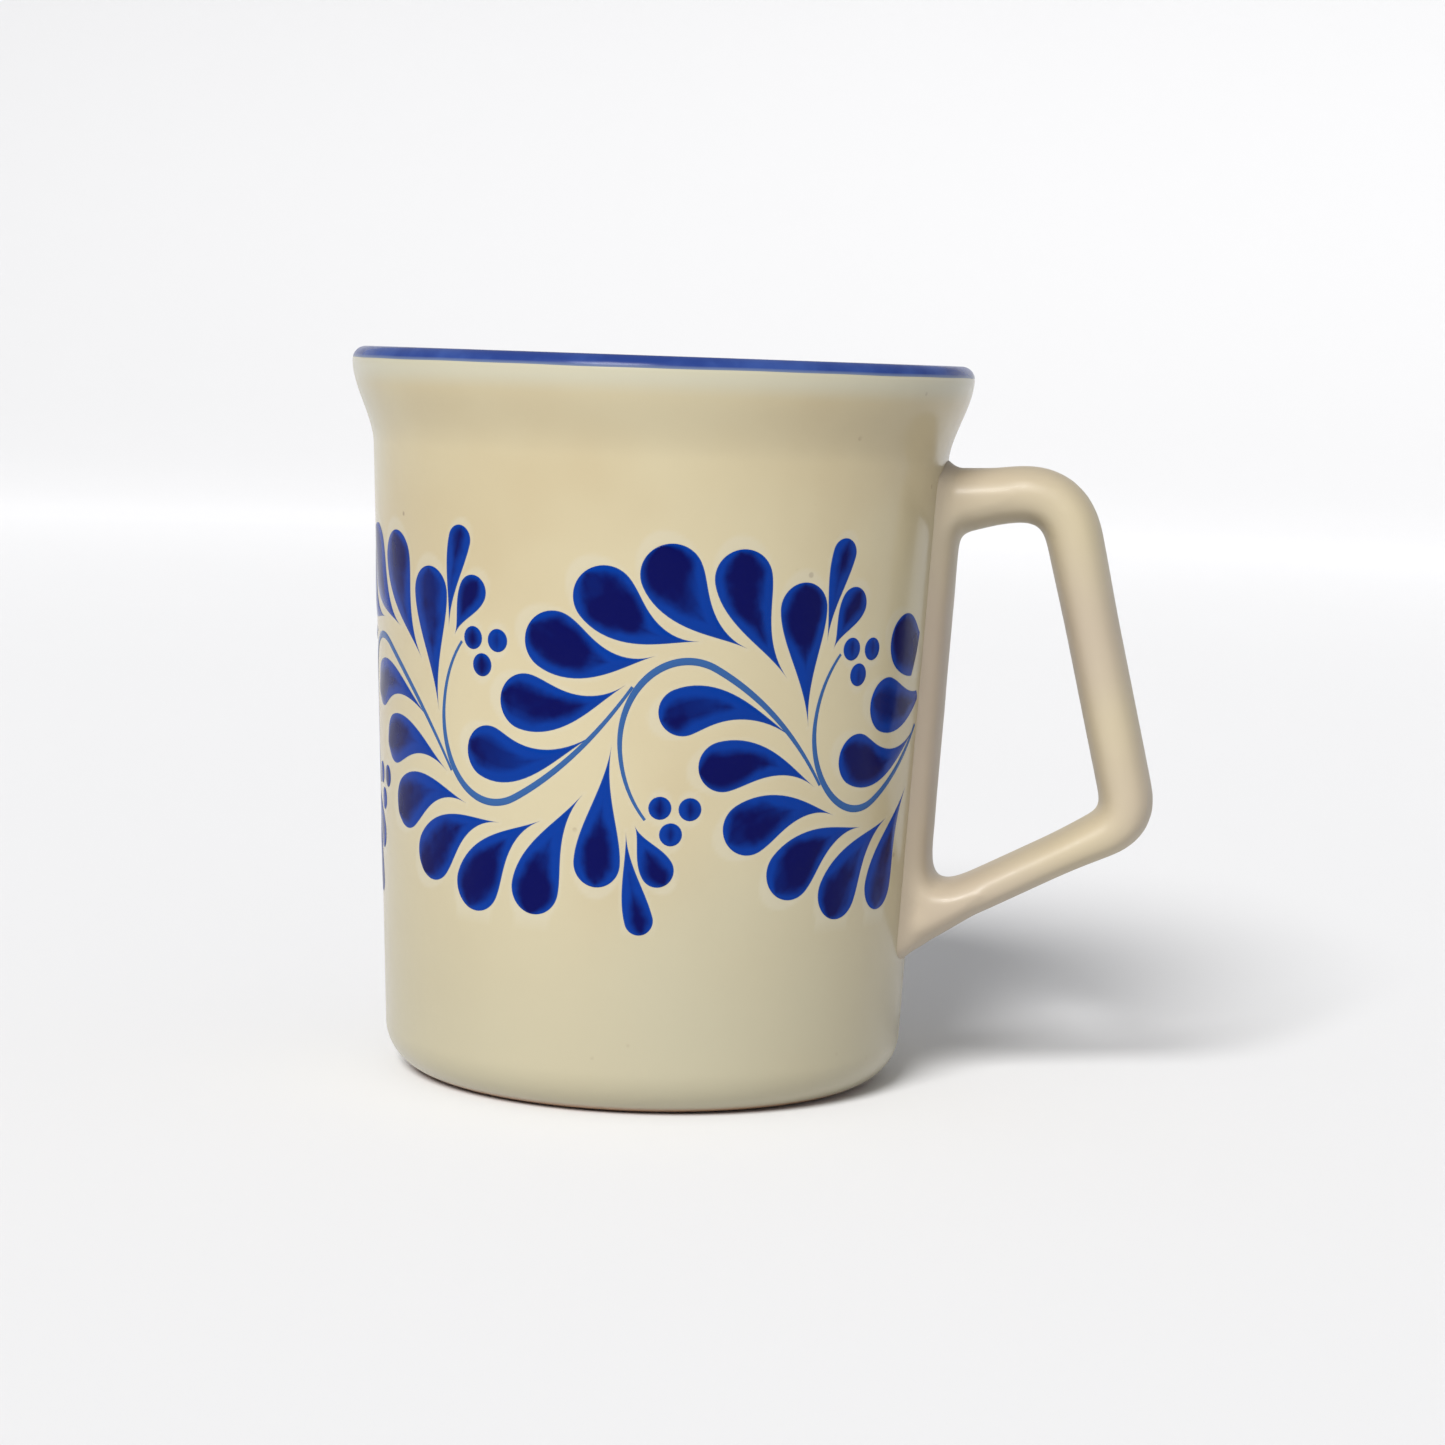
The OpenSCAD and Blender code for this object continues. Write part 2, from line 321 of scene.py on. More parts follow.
def cream_colour(nodes):
    """Cream glaze with soft warm and cool clouds and a few tiny brown specks."""
    warm = nodes.mix(nodes.patches(scale=26, detail=3, low=0.38, high=0.66), CREAM, CREAM_WARM)
    cool = nodes.mix(nodes.patches(scale=17, detail=2, low=0.50, high=0.75), warm, CREAM_COOL)
    dots = nodes.remap(nodes.spots(scale=210), low=0.10, high=0.055)
    speck = nodes.math("MULTIPLY", dots, nodes.patches(scale=95, detail=0, low=0.60, high=0.66))
    return nodes.mix(nodes.math("MULTIPLY", speck, SPECK_DEPTH), cool, SPECK)


def glaze_roughness(nodes, least=0.20, most=0.27):
    return nodes.patches(scale=70, detail=4, low=0.3, high=0.7, to_low=least, to_high=most)


def peel(nodes, fine_scale, broad_scale, depth):
    """A fired glaze's orange-peel waviness: fine ripples on twice as strong broad ones."""
    broad = nodes.math("MULTIPLY", nodes.noise(broad_scale, PEEL_DETAIL), 2.0)
    nodes.bump(nodes.math("ADD", nodes.noise(fine_scale, PEEL_DETAIL), broad), depth)


def cup_glaze():
    """Cream that greys towards the foot, with bare clay at the foot's edge and a painted highlight as a pale
    band under the lip.
    """
    nodes = Nodes("cream_glaze")
    colour = cream_colour(nodes)
    height = nodes.height()
    # The last tint is a painted highlight, a pale band under the lip.
    for low, high, tint_and_painted_light in ((FOOT_TINT_TOP, 0.0, FOOT_GREY),
                            (BARE_TOP, BARE_FULL, BARE_CLAY),
                            (LIP_HIGHLIGHT_START, LIP_HIGHLIGHT_FULL, LIP_PAINTED_HIGHLIGHT)):
        colour = nodes.mix(nodes.remap(height, low, high, to_high=TINT_DEPTH), colour, tint_and_painted_light)
    colour = nodes.mix(nodes.attribute("halo"), colour, HALO)
    peel(nodes, fine_scale=240, broad_scale=45, depth=BODY_PEEL)
    return nodes.finish(colour, glaze_roughness(nodes))


def handle_glaze():
    """The cup's cream, pinker and darkened with painted shade for the cup's shadow on it, and less glossy.
    """
    nodes = Nodes("handle_glaze")
    tint_and_painted_light = nodes.patches(scale=21, detail=2, low=0.2, high=0.6)
    # The pink patches also carry painted shade, darkening the handle.
    colour = nodes.mix(tint_and_painted_light, cream_colour(nodes), HANDLE_PINK_AND_SHADE)
    peel(nodes, fine_scale=200, broad_scale=50, depth=HANDLE_PEEL)
    return nodes.finish(colour, glaze_roughness(nodes, least=0.40, most=0.50), coat=0.05)


def paint():
    """Cobalt that pools dark inside a stroke and thins to brighter blue at its edge and its tail."""
    nodes = Nodes("cobalt_paint")
    inset = nodes.attribute("inset")
    thinning = nodes.math("MULTIPLY", nodes.attribute("tail"), TAIL_THINNING)
    brushed = nodes.patches(scale=130, detail=3, low=0.35, high=0.7, to_low=-0.3, to_high=0.3)
    depth = nodes.math("ADD", nodes.math("SUBTRACT", inset, thinning), brushed)
    colour = nodes.mix(nodes.remap(depth, low=0.1, high=0.95), COBALT, NAVY)
    colour = nodes.mix(nodes.attribute("stem"), colour, STEM_BLUE)
    brim = nodes.remap(inset, low=0.10, high=0.0, to_high=0.55)
    colour = nodes.mix(brim, colour, STEM_BLUE)
    nodes.bump(nodes.noise(PAINT_PEEL_SCALE, PEEL_DETAIL), PAINT_PEEL)
    return nodes.finish(colour, glaze_roughness(nodes, least=0.12, most=0.20), coat=0.0, specular=0.08)


def rim_paint():
    """Streaky blue that thins out along both edges of the line."""
    nodes = Nodes("rim_blue")
    streaks = nodes.patches(scale=160, detail=4, low=0.35, high=0.7)
    colour = nodes.mix(streaks, RIM_BLUE, RIM_BLUE_THIN)
    colour = nodes.mix(nodes.attribute("edge"), colour, RIM_EDGE)
    nodes.bump(nodes.noise(PAINT_PEEL_SCALE, PEEL_DETAIL), PAINT_PEEL)
    return nodes.finish(colour, glaze_roughness(nodes), coat=0.0, specular=0.15)


# ---- the scroll's strokes, in millimetres on the unrolled wall: x along it, y up, from a curl's middle ----


HEAD_ROWS, TAIL_ROWS, BERRY_ROWS = 12, 20, 12
STALK_ROWS, CURL_ROWS, RUN_ROWS = 10, 48, 32
TAPER = 2.1
STEM_END_SHARE = 0.4


def vec(x, y):
    return np.array((x, y), dtype=float)


def unit(v):
    return v / np.hypot(*v)


def turned(v):
    return vec(-v[1], v[0])


def on_ring(radius, angle):
    return radius * vec(math.cos(math.radians(angle)), math.sin(math.radians(angle)))


def curve(a, b, c, t):
    """A point on the bow from a to c that leans to b, at share t of the way."""
    return (1 - t) ** 2 * a + 2 * t * (1 - t) * b + t * t * c


def leaf_rows(leaf):
    """Centre line, half widths and tail shares of a leaf: a round head that runs out in a thin tail."""
    head, lean, tip, radius = leaf
    forward = unit(lean - head)
    points, halves, tails = [], [], []
    for i in range(HEAD_ROWS):
        along = radius * math.cos(i / HEAD_ROWS * math.pi / 2)
        points.append(head - forward * along)
        halves.append(math.sqrt(max(0.0, radius * radius - along * along)))
        tails.append(0.0)
    for t in steps(0, 1, TAIL_ROWS):
        points.append(curve(head, lean, tip, t))
        halves.append(radius * (1 - t) ** TAPER * (1 + TAPER * t))
        tails.append(t)
    return points, halves, tails


def on_curl(angle):
    return vec(CURL_W * math.cos(math.radians(angle)), CURL_H * math.sin(math.radians(angle)))


def curl_way(angle):
    """The way a stem that goes clockwise round the curl is heading."""
    return unit(vec(CURL_W * math.sin(math.radians(angle)), -CURL_H * math.cos(math.radians(angle))))


def swoop(start, way, end, arrival, count):
    """A line of points that leaves one place and arrives at another, each at a heading."""
    pull = np.hypot(*(end - start)) / 3
    b, c = start + pull * way, end - pull * arrival
    return [(1 - t) * curve(start, b, c, t) + t * curve(b, c, end, t) for t in steps(0, 1, count)[1:]]


STALK_START = vec(-5, -9.9)


def stem_rows():
    """Up the stalk from the berries, round the curl, then down beside the next curl."""
    lean = on_curl(CURL_START) - STALK_BOW * curl_way(CURL_START)
    join = vec(SPRAY_PITCH / MM, 2 * CURL_DROP) + STEM_CLEAR * on_curl(CURL_JOIN)
    points = [curve(STALK_START, lean, on_curl(CURL_START), t) for t in steps(0, 1, STALK_ROWS)[:-1]]
    points += [on_curl(angle) for angle in steps(CURL_START, CURL_END, CURL_ROWS)]
    points += swoop(on_curl(CURL_END), curl_way(CURL_END), join, -curl_way(CURL_JOIN), RUN_ROWS)
    halves = [STEM_W / 2 * (STEM_END_SHARE + (1 - STEM_END_SHARE) * math.sin(math.pi * share))
              for share in steps(0, 1, len(points) - 1)]
    return points, halves, [0.0] * len(points)


def berry_rows(centre):
    angles = steps(0, math.pi, BERRY_ROWS)
    points = [centre + vec(0, -BERRY_R * math.cos(a)) for a in angles]
    return points, [BERRY_R * math.sin(a) for a in angles], [0.0] * len(points)


FIRST_LEAF = (vec(-26.8, -2.5), vec(-20.5, -5.3), vec(-11.7, 0.9))
SPRIG = ((vec(-5.4, -23), vec(-7.1, -17.2), vec(-7.4, -11.4), 1.9),
         (vec(-3.2, -16.4), vec(-5.2, -13.2), vec(-6.3, -10.6), 2.2))
BERRY_SPOT = vec(-1.3, -9.4)
BERRIES = ((-1.8, 1.1), (2.1, 1), (-0.3, -2.3))
STROKE_SHARE = 0.8
FEWEST_ROWS = 4


def fan_leaf(i, radius):
    """Leaf i of the fan round a curl, counted from its left."""
    if i == 0:
        return *FIRST_LEAF, radius * FIRST_LEAF_SIZE
    return (on_ring(HEAD_RING_R + HEAD_WIDENING * (i - HEAD_MIDDLE) ** 2, HEAD_ANGLE - HEAD_STEP * i),
            on_ring(LEAN_RING_R + LEAN_WIDENING * (i - LEAN_MIDDLE) ** 2, LEAN_ANGLE - LEAN_STEP * i),
            on_ring(TIP_RING_R + TIP_WIDENING * i, TIP_ANGLE - TIP_STEP * i),
            radius * (1 - LEAF_SHRINK * (i - BIGGEST_LEAF) ** 2))


def fan_leaves(number):
    """The first and last sprays leave out the leaves that the strap would cover."""
    short = {0: range(2, BIG_LEAVES), SPRAYS - 2: range(BIG_LEAVES - 1), SPRAYS - 1: range(3)}
    return short.get(number, range(BIG_LEAVES))


def cut_to_strap(points, halves, tails, number):
    """The longest run of a stroke's rows that stays clear of the strap; the last spray ends there."""
    runs, run = [], []
    for i, (point, half) in enumerate(zip(points, halves)):
        away = short_way(point[0] + spray_middle(number))
        past = number == SPRAYS - 1 and away > 0
        if abs(away) - half * STROKE_SHARE > STRAP_CLEAR and not past:
            run.append(i)
        elif run:
            runs.append(run)
            run = []
    runs.append(run)
    best = max(runs, key=len)
    return [points[i] for i in best], [halves[i] for i in best], [tails[i] for i in best]


def spray_strokes(number):
    """One spray's strokes, clear of the strap, in metres: points, half widths, tails, whether a stem."""
    flip = 1 if number % 2 == 0 else -1
    strokes = [(*stem_rows(), True)]
    strokes += [(*leaf_rows(fan_leaf(i, LEAF_R[flip])), False) for i in fan_leaves(number)]
    strokes += [(*leaf_rows(leaf), False) for leaf in SPRIG]
    strokes += [(*berry_rows(BERRY_SPOT + vec(x, flip * y)), False) for x, y in BERRIES]
    placed = []
    for points, halves, tails, is_stem in strokes:
        on_scroll = [vec(x, flip * (y - CURL_DROP)) * MM for x, y in points]
        kept = cut_to_strap(on_scroll, [half * MM for half in halves], tails, number)
        if len(kept[0]) >= FEWEST_ROWS:
            placed.append((*kept, is_stem))
    return placed


def on_wall(x, y, lift):
    """A point of the unrolled wall, put on the cup."""
    z = SCROLL_Z + y
    angle = x / SCROLL_R
    radius = slope_r(z) + lift
    return radius * math.cos(angle), radius * math.sin(angle), z


ACROSS = (-1, -0.93, -0.8, -0.6, -0.3, 0, 0.3, 0.6, 0.8, 0.93, 1)
POOL_DEPTH = 1.9 * MM
EDGE_LIFT = 0.02 * MM
CROWN_LIFT = 0.10 * MM
FULL_CROWN_HALF = 1 * MM


def spray_piece(number):
    """All strokes of one spray as low domes of glaze on the wall."""
    verts, faces, inset, tail, stem = [], [], [], [], []
    for points, halves, tails, is_stem in spray_strokes(number):
        first = len(verts)
        for i, (point, half) in enumerate(zip(points, halves)):
            ahead, behind = points[min(i + 1, len(points) - 1)], points[max(i - 1, 0)]
            side = turned(unit(ahead - behind))
            for s in ACROSS:
                x, y = point + side * half * s
                crown = (1 - s * s) * min(1.0, half / FULL_CROWN_HALF)
                verts.append(on_wall(spray_middle(number) + x, y, EDGE_LIFT + CROWN_LIFT * crown))
                inset.append(min(1.0, half * (1 - abs(s)) / POOL_DEPTH))
                tail.append(tails[i])
                stem.append(float(is_stem))
        faces += grid_faces(len(points), len(ACROSS), first)
    piece = new_object(f"spray_{number}_paint", verts, faces)
    for name, values in (("inset", inset), ("tail", tail), ("stem", stem)):
        set_attribute(piece, name, values)
    return piece


# ---- the cup ----

FINE_LOW, FINE_HIGH = 26 * MM, 80 * MM
FINE_ROWS = 122
HALO_LOW, HALO_HIGH = 24 * MM, 82 * MM
HALO_W = 0.5 * MM
HALO_FALL = 1.2
HALO_DEPTH = 0.35
CUP_SEGMENTS = 512


def cup_outline():
    """From the underside's centre, up the outside, over the lip and down to the floor's centre.

    The last number of each call is its count of rows.
    """
    foot_flat = slope_r(FOOT_ROUND) - FOOT_ROUND
    floor_edge = FLOOR_T + FLOOR_ROUND
    inner_r = slope_r(floor_edge) - WALL_T
    outline = [(0, 0)]
    outline += [(foot_flat * f, 0) for f in (0.3, 0.6, 0.85, 0.97)]
    outline += arc((foot_flat, FOOT_ROUND), (FOOT_ROUND, FOOT_ROUND), -90, 0, 16)
    outline += [(slope_r(z), z) for z in steps(FOOT_ROUND, FINE_LOW, 9)[1:]]
    outline += [(slope_r(z), z) for z in steps(FINE_LOW, FINE_HIGH, FINE_ROWS)[1:]]
    outline += [(wall_r(z), z) for z in steps(FINE_HIGH, FLARE_Z, 6)[1:]]
    outline += [(wall_r(z), z) for z in steps(FLARE_Z, LIP_Z, 22)[1:]]
    outline += arc((wall_r(LIP_Z) - WALL_T / 2, LIP_Z), (WALL_T / 2, LIP_H), 0, 180, 24)[1:]
    outline += [(wall_r(z) - WALL_T, z) for z in steps(LIP_Z, FLARE_Z, 16)[1:]]
    outline += [(slope_r(z) - WALL_T, z) for z in steps(FLARE_Z, floor_edge, 12)[1:]]
    outline += arc((inner_r - FLOOR_ROUND, floor_edge), (FLOOR_ROUND, FLOOR_ROUND), 0, -90, 12)[1:]
    outline += [((inner_r - FLOOR_ROUND) * f, FLOOR_T) for f in (0.7, 0.4, 0.15)]
    outline.append((0, FLOOR_T))
    return outline


def read_vectors(vertices, what):
    """One row of three numbers for each vertex."""
    values = np.empty(len(vertices) * 3)
    vertices.foreach_get(what, values)
    return values.reshape(-1, 3)


def halo_values(piece):
    """How pale the glaze is at every point: most at a stroke's edge, fading to 0 a little way off."""
    place = read_vectors(piece.data.vertices, "co")
    height = place[:, 2]
    radius = np.hypot(place[:, 0], place[:, 1])
    outside = (np.abs(radius - slope_r(height)) < WALL_T / 4) & (height > HALO_LOW) & (height < HALO_HIGH)
    wall = np.nonzero(outside)[0]
    x = np.arctan2(place[wall, 1], place[wall, 0]) * SCROLL_R
    y = height[wall] - SCROLL_Z
    away = np.full(len(place), 1.0)
    for number in range(SPRAYS):
        for points, halves, _, _ in spray_strokes(number):
            line = np.array(points)
            middle = line.mean(axis=0)
            reach = np.hypot(*(line - middle).T).max() + max(halves) + HALO_W
            dx, dy = short_way(x - spray_middle(number) - middle[0]), y - middle[1]
            near = np.nonzero((np.abs(dx) < reach) & (np.abs(dy) < reach))[0]
            for point, half in zip(line - middle, halves):
                gap = np.hypot(dx[near] - point[0], dy[near] - point[1]) - half
                away[wall[near]] = np.minimum(away[wall[near]], gap)
    return np.clip(1 - np.maximum(away, 0) / HALO_W, 0, 1) ** HALO_FALL * HALO_DEPTH


def cup_piece():
    piece = lathe("cup_glazed", cup_outline(), CUP_SEGMENTS)
    set_attribute(piece, "halo", halo_values(piece))
    return piece


# ---- the rim line: its two edges in degrees round the lip, and how the brush wavered along them ----

RIM_SEGMENTS = 360
RIM_ROWS = 22
RIM_START, RIM_START_SWAY = 14, -8
RIM_END, RIM_END_SWAY = 158, 10
RIM_THIN_SHARE = 0.09
RIM_EDGE_SHARE = 0.15
BRUSH_WAVES = ((0.12, 3, 1), (0.10, 7, 0), (0.06, 19, 2))


def brush_waver(turn):
    """Three slow waves, each of a size, a count round the lip and a start."""
    return sum(size * math.sin(count * turn + start) for size, count, start in BRUSH_WAVES)


def rim_piece():
    """The painted line over the lip, with hand-drawn edges."""
    centre_r = wall_r(LIP_Z) - WALL_T / 2
    verts, edge = [], []
    for share in steps(0, 1, RIM_ROWS):
        lift = PAINT_T * (RIM_EDGE_SHARE + (1 - RIM_EDGE_SHARE) * math.sin(math.pi * share) ** 0.5)
        for k in range(RIM_SEGMENTS):
            turn = TAU * k / RIM_SEGMENTS
            waver = brush_waver(turn)
            start = math.radians(RIM_START + RIM_START_SWAY * waver)
            end = math.radians(RIM_END + RIM_END_SWAY * waver)
            a = start + (end - start) * share
            radius = centre_r + (WALL_T / 2 + lift) * math.cos(a)
            verts.append((radius * math.cos(turn), radius * math.sin(turn),
                          LIP_Z + (LIP_H + lift) * math.sin(a)))
            edge.append(max(0.0, 1 - min(share, 1 - share) / RIM_THIN_SHARE))
    piece = new_object("rim_line_paint", verts, grid_faces(RIM_ROWS + 1, RIM_SEGMENTS, closed=True))
    set_attribute(piece, "edge", edge)
    return piece


# ---- the handle ----

UPPER_ROOT_Z = 79.8 * MM
LOWER_ROOT_Z = 22 * MM
UPPER_BEND = vec(55, 82.2) * MM
LOWER_BEND = vec(65.9, 37.8) * MM
STRAP_T = 2.4 * MM
STRAP_DEPTH = 5.4 * MM
UPPER_ARM_T = 7.6 * MM
GRIP_T = 7.2 * MM
LOWER_ARM_T = 5.5 * MM
ROOT_SWELL = 1.3 * MM
MELT_VOXEL = 0.7 * MM
MELT_SHRINK = 0.05 * MM
MELT_ROUNDS = 10
FILLET_W = 1.2 * MM
FILLET_H = 2.2 * MM
BEND_RADII = (7 * MM, 7.5 * MM, 5.2 * MM, 6.5 * MM)
LOOP_SPACING = 0.8 * MM
BAR_SIDES = 40
FACE_FLATNESS, SIDE_FLATNESS = 0.85, 0.92
STRAP_OVERRUN = 3 * MM
STRAP_SINK = 0.4 * MM
ROOT_BACK = 1.6 * MM
ROOT_LENGTH = 14 * MM
ROOT_REACH = 11 * MM
ROOT_FADE = 1.4
FEWEST_RINGS = 14
# The heights and the distances off the wall between which the bar changes its thickness and width.
UPPER_START_Z, UPPER_FULL_Z = 62 * MM, 78 * MM
LOWER_START_Z, LOWER_FULL_Z = 40 * MM, 32 * MM
BAR_START, BAR_FULL = 0.5 * MM, 5.5 * MM
NARROW_START, NARROW_FULL = 2 * MM, 16 * MM
NARROWING = 0.05


def bend_angle(inward, outward):
    return math.acos(max(-1.0, min(1.0, float(inward @ outward))))


def rounded_loop(corners, radii, spacing):
    """A closed loop through corners with round bends, as points spaced evenly enough."""
    points = []
    count = len(corners)
    for i in range(count):
        before, corner, after = corners[i - 1], corners[i], corners[(i + 1) % count]
        inward, outward = unit(corner - before), unit(after - corner)
        turn = bend_angle(inward, outward)
        cut = radii[i] * math.tan(turn / 2)
        start, end = corner - inward * cut, corner + outward * cut
        bends = max(6, int(radii[i] * turn / spacing))
        points += [curve(start, corner, end, k / bends) for k in range(bends + 1)]
        next_turn = bend_angle(outward, unit(corners[(i + 2) % count] - after))
        run_end = after - outward * radii[(i + 1) % count] * math.tan(next_turn / 2)
        gaps = max(2, int(np.hypot(*(run_end - end)) / spacing))
        points += [end + (run_end - end) * k / gaps for k in range(1, gaps)]
    return points


def bar_ring(point, normal, thickness, width):
    """One oval section of the handle, flat-faced and fully rounded."""
    ring = []
    for k in range(BAR_SIDES):
        a = TAU * k / BAR_SIDES
        c, s = math.cos(a), math.sin(a)
        u = math.copysign(abs(c) ** FACE_FLATNESS, c) * thickness / 2
        v = math.copysign(abs(s) ** SIDE_FLATNESS, s) * width / 2
        ring.append((point[0] + normal[0] * u, v, point[1] + normal[1] * u))
    return ring


def tube(points, thickness_at, closed):
    """Verts and faces of a bar swept along points of the handle's plane."""
    verts = []
    count = len(points)
    for i, point in enumerate(points):
        ahead = points[(i + 1) % count] if closed else points[min(i + 1, count - 1)]
        behind = points[i - 1] if closed else points[max(i - 1, 0)]
        normal = turned(unit(ahead - behind))
        verts += bar_ring(point, normal, thickness_at(point), bar_width(point))
    faces = grid_faces(count, BAR_SIDES, closed=True)
    first_ring = range(BAR_SIDES)
    last = (count - 1) * BAR_SIDES
    if closed:
        faces += [(last + k, last + (k + 1) % BAR_SIDES, (k + 1) % BAR_SIDES, k) for k in first_ring]
    else:
        faces.append(tuple(first_ring)[::-1])
        faces.append(tuple(last + k for k in first_ring))
    return verts, faces


def off_wall(point):
    """How far a point of the handle's plane stands off the cup's wall."""
    x, z = point
    return x - slope_r(z)


def bar_thickness(point):
    """Thickness of the loop: thin strap on the wall, thick upper arm, slimmer grip and lower arm."""
    z = point[1]
    high = ramp(z, UPPER_START_Z, UPPER_FULL_Z)
    low = ramp(z, LOWER_START_Z, LOWER_FULL_Z)
    bar = GRIP_T + (UPPER_ARM_T - GRIP_T) * high + (LOWER_ARM_T - GRIP_T) * low
    return STRAP_DEPTH + (bar - STRAP_DEPTH) * ramp(off_wall(point), BAR_START, BAR_FULL)


def root_thickness(arm_t):
    """Thickness of an arm's root: swollen at the wall, then hidden inside the arm."""
    def at(point):
        return arm_t + ROOT_SWELL * (1 - ROOT_FADE * ramp(off_wall(point), 0, ROOT_REACH))
    return at


def bar_width(point):
    return HANDLE_W * (1 - NARROWING * ramp(off_wall(point), NARROW_START, NARROW_FULL))


def strap_thickness(point):
    """Thickness of the straight strap inside the loop's back, a little under the loop's own."""
    return STRAP_DEPTH - STRAP_SINK


def melted(rough):
    """The mesh of an object of crossing tubes, melted into one skin; the object is deleted."""
    melt = rough.modifiers.new("melt", "REMESH")
    melt.mode = "VOXEL"
    melt.voxel_size = MELT_VOXEL
    soften = rough.modifiers.new("soften", "SMOOTH")
    soften.factor = 0.5
    soften.iterations = MELT_ROUNDS
    fine = rough.modifiers.new("fine", "SUBSURF")
    fine.levels = fine.render_levels = 1
    cast = bpy.data.meshes.new_from_object(rough.evaluated_get(bpy.context.evaluated_depsgraph_get()))
    bpy.data.objects.remove(rough)
    return cast


def handle_piece():
    """A closed loop and the roots of its arms, melted into one soft cast form that spreads on the wall."""
    strap_x = STRAP_T - STRAP_DEPTH / 2
    upper_root = vec(slope_r(UPPER_ROOT_Z) + strap_x, UPPER_ROOT_Z)
    lower_root = vec(slope_r(LOWER_ROOT_Z) + strap_x, LOWER_ROOT_Z)
    loop = rounded_loop([upper_root, UPPER_BEND, LOWER_BEND, lower_root], BEND_RADII, LOOP_SPACING)
    verts, faces = tube(loop, bar_thickness, True)
    wall_way = unit(upper_root - lower_root)
    strap_length = np.hypot(*(upper_root - lower_root)) + 2 * STRAP_OVERRUN
    extra = [(lower_root - wall_way * STRAP_OVERRUN, wall_way, strap_length, strap_thickness)]
    arms = ((upper_root, UPPER_BEND, UPPER_ARM_T), (lower_root, LOWER_BEND, LOWER_ARM_T))
    for root, corner, arm_t in arms:
        way = unit(corner - root)
        extra.append((root - way * ROOT_BACK, way, ROOT_LENGTH, root_thickness(arm_t)))
    for start, way, length, thickness_at in extra:
        line = [start + way * length * share for share in steps(0, 1, max(FEWEST_RINGS, int(length / MM)))]
        more_verts, more_faces = tube(line, thickness_at, False)
        faces += [tuple(len(verts) + k for k in face) for face in more_faces]
        verts += more_verts
    cast = melted(new_object("handle_rough", verts, faces))
    spread_on_wall(cast)
    cast.polygons.foreach_set("use_smooth", [True] * len(cast.polygons))
    piece = bpy.data.objects.new("handle_cast", cast)
    bpy.context.collection.objects.link(piece)
    return piece


def spread_on_wall(mesh):
    """Makes up for the melt's shrinking, then spreads the points near the wall along it as a slip fillet."""
    place, normal = read_vectors(mesh.vertices, "co"), read_vectors(mesh.vertices, "normal")
    place += normal * MELT_SHRINK
    radius = np.hypot(place[:, 0], place[:, 1])
    fall = np.full(len(place), -(TOP_R - BASE_R) / CUP_H)
    outward = np.column_stack((place[:, :2] / radius[:, None], fall))
    outward /= np.linalg.norm(outward, axis=1)[:, None]
    sideways = normal - outward * (normal * outward).sum(axis=1)[:, None]
    share = np.clip(1 - (radius - slope_r(place[:, 2])) / FILLET_H, 0, 1)
    place += sideways * (FILLET_W * share * share)[:, None]
    mesh.vertices.foreach_set("co", place.ravel())
    mesh.update()


# ---- the stage, lights and camera ----

VIEW_TURN = math.radians(8.1)
AIM_OUT, AIM_HEIGHT = 9.6 * MM, 48.3 * MM
AIM = Vector((AIM_OUT * math.cos(VIEW_TURN), AIM_OUT * math.sin(VIEW_TURN), AIM_HEIGHT))
EYE_DISTANCE = 477.7 * MM
EYE_HEIGHT = 97.6 * MM
ROLL = 0.035
FOCAL_SHARE = 2.416
SENSOR_W = 36

WINDOW_TURN = math.radians(-14)
WINDOW_HEIGHT = math.radians(38)
WINDOW_BREADTH = math.radians(24)
WINDOW_POWER = 3.95
WINDOW_COLOUR = (1.0, 0.985, 0.96)
ROOM_STRENGTH = 0.38

# The sweep's wall faces the light more than its floor does, so its paper is greyer the higher it rises.
PAPER_DARK, PAPER_PALE = (0.765, 0.772, 0.793), (0.785, 0.792, 0.814)
PAPER_ROUGHNESS = 0.9
PAPER_CLOUD_SCALE = 3
WALL_GREY = (0.53, 0.535, 0.55)
WALL_FADE = 18 * MM
FLOOR_RADII = (0, 0.1, 0.3, 0.6, 1.0, 1.5)
SWEEP_R = 0.6
SWEEP_START = 0.1
WALL_TOP = 0.8
SWEEP_ROWS = 10
STAGE_SEGMENTS = 96


def facing(eye, aim, roll=0.0):
    """World matrix of a camera or lamp at eye that looks at aim."""
    back = (eye - aim).normalized()
    right = Vector((0, 0, 1)).cross(back).normalized()
    up = back.cross(right)
    turn = Matrix((right, up, back)).transposed().to_4x4()
    return Matrix.Translation(eye) @ turn @ Matrix.Rotation(roll, 4, "Z")


def from_turn(turn, distance, height):
    """A point above the floor, at a turn from the front; towards the handle is positive."""
    return Vector((distance * math.sin(turn), -distance * math.cos(turn), height))


def make_camera():
    data = bpy.data.cameras.new("camera")
    data.sensor_width = SENSOR_W
    data.lens = FOCAL_SHARE * SENSOR_W
    data.clip_start = 10 * MM
    camera = bpy.data.objects.new("camera", data)
    bpy.context.collection.objects.link(camera)
    eye = from_turn(VIEW_TURN, EYE_DISTANCE, EYE_HEIGHT)
    camera.matrix_world = facing(eye, AIM, ROLL)
    bpy.context.scene.camera = camera


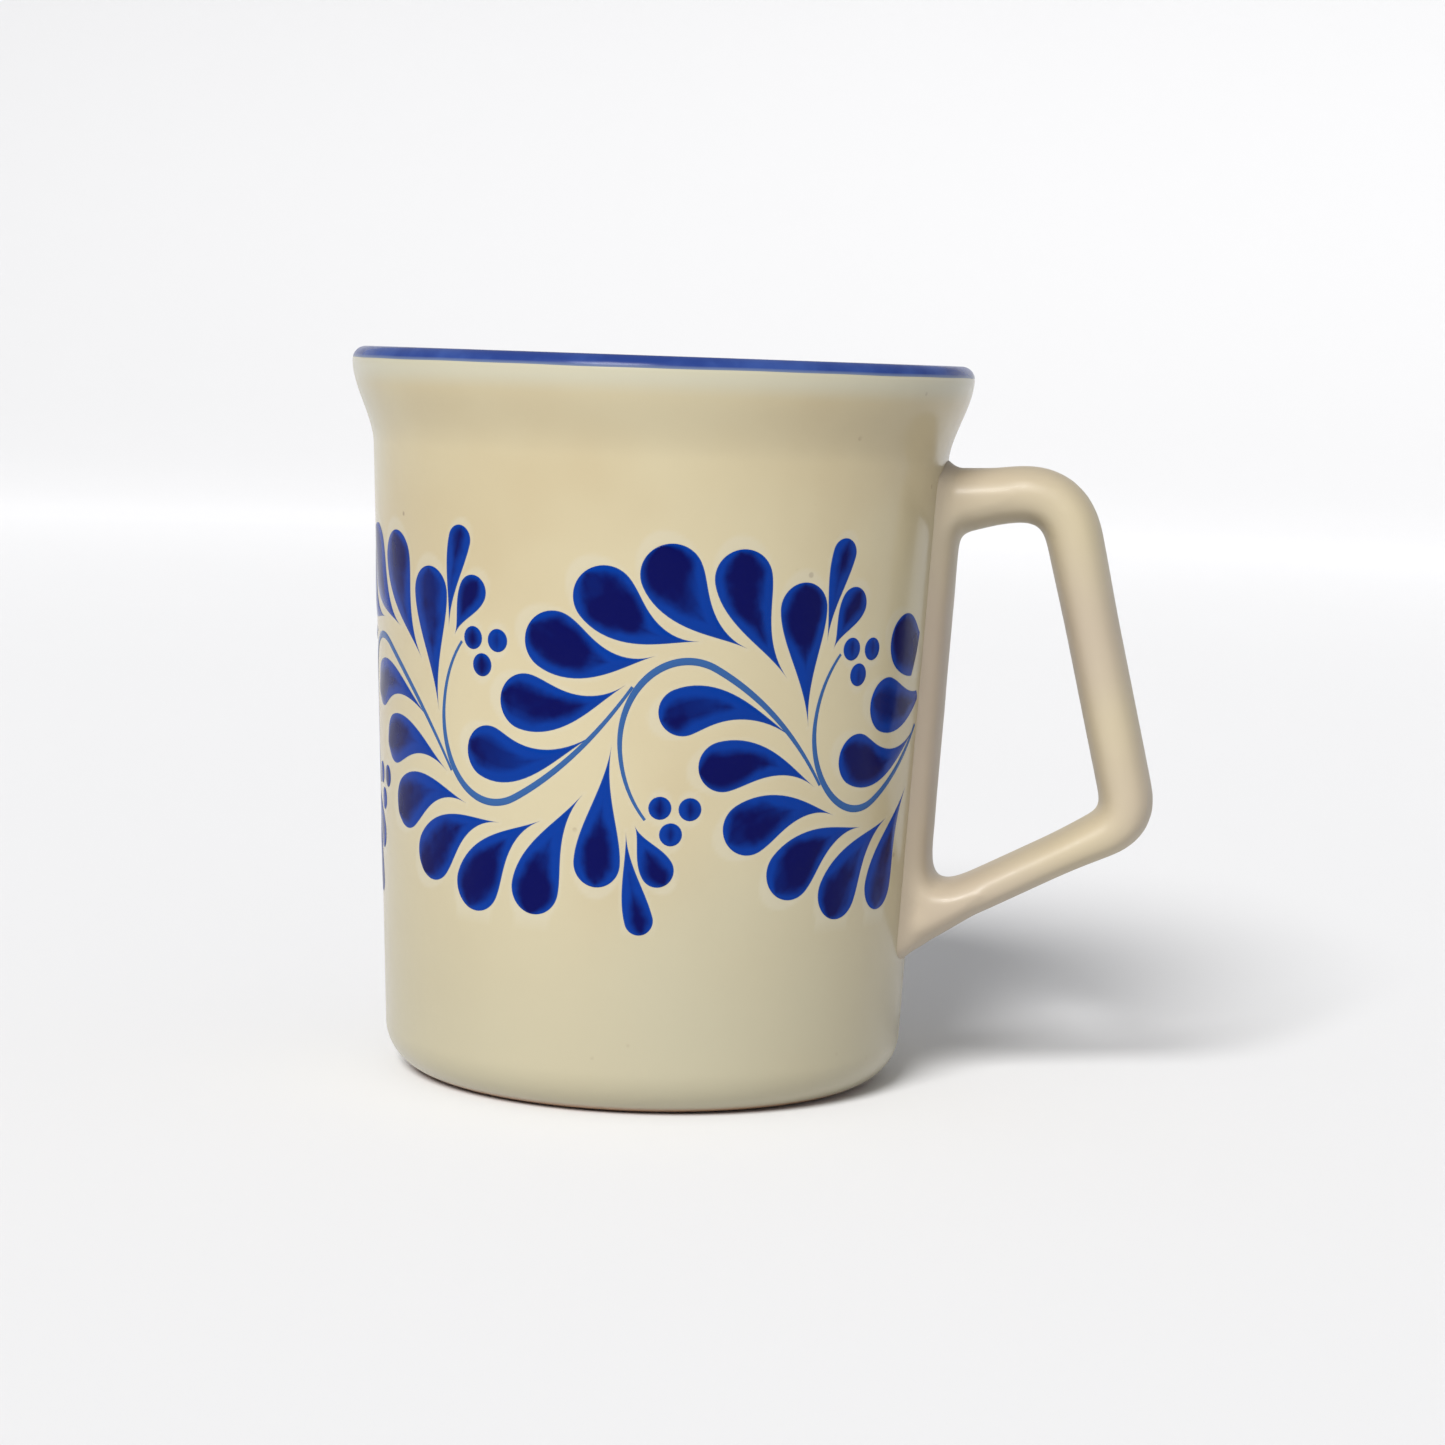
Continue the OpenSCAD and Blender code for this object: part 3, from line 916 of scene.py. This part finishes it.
def make_stage():
    """A pale sweep: a floor that curves up far behind the mug on every side."""
    floor_r = FLOOR_RADII[-1]
    outline = [(radius, 0) for radius in FLOOR_RADII]
    outline += [(floor_r + SWEEP_R * math.sin(a), SWEEP_R - SWEEP_R * math.cos(a))
                for a in steps(SWEEP_START, math.pi / 2, SWEEP_ROWS)]
    outline.append((floor_r + SWEEP_R, WALL_TOP))
    faces = grid_faces(len(outline), STAGE_SEGMENTS, closed=True, flip=True)
    floor = new_object("studio_floor", rings(outline, STAGE_SEGMENTS), faces)
    nodes = Nodes("studio_paper")
    paper = nodes.mix(nodes.noise(PAPER_CLOUD_SCALE, detail=2), PAPER_DARK, PAPER_PALE)
    rise = nodes.height()
    wall = nodes.math("DIVIDE", rise, nodes.math("ADD", rise, WALL_FADE))
    nodes.join(nodes.mix(wall, paper, WALL_GREY), nodes.shader.inputs["Base Color"])
    nodes.shader.inputs["Roughness"].default_value = PAPER_ROUGHNESS
    floor.data.materials.append(nodes.material)


def make_lights():
    """An even white room, and one broad window to the front left and above."""
    world = bpy.data.worlds.new("studio")
    world.use_nodes = True
    room = world.node_tree.nodes["Background"]
    room.inputs["Color"].default_value = (1.0, 1.0, 1.0, 1.0)
    room.inputs["Strength"].default_value = ROOM_STRENGTH
    bpy.context.scene.world = world
    data = bpy.data.lights.new("window", "SUN")
    data.angle = WINDOW_BREADTH
    data.energy = WINDOW_POWER
    data.color = WINDOW_COLOUR
    window = bpy.data.objects.new("window", data)
    bpy.context.collection.objects.link(window)
    place = from_turn(WINDOW_TURN, math.cos(WINDOW_HEIGHT), math.sin(WINDOW_HEIGHT))
    window.matrix_world = facing(place, Vector((0, 0, 0)))


# ---- assembly ----


def settle(piece, slot, material, *nodes):
    """Gives a piece its material and its body and hides the CAD nodes it stands for; slot is not used."""
    piece.data.materials.clear()
    piece.data.materials.append(material)
    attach(piece, "root")
    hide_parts(*nodes)


settle(cup_piece(), "cream_glaze", cup_glaze(), "cup")
settle(rim_piece(), "rim_blue", rim_paint(), "rim_line")
settle(handle_piece(), "handle_glaze", handle_glaze(), "handle", "handle_slip")
cobalt = paint()
for spray in range(SPRAYS):
    settle(spray_piece(spray), "cobalt_paint", cobalt, f"spray_{spray}")

make_stage()
make_lights()
make_camera()
bpy.context.scene.view_settings.view_transform = "Standard"
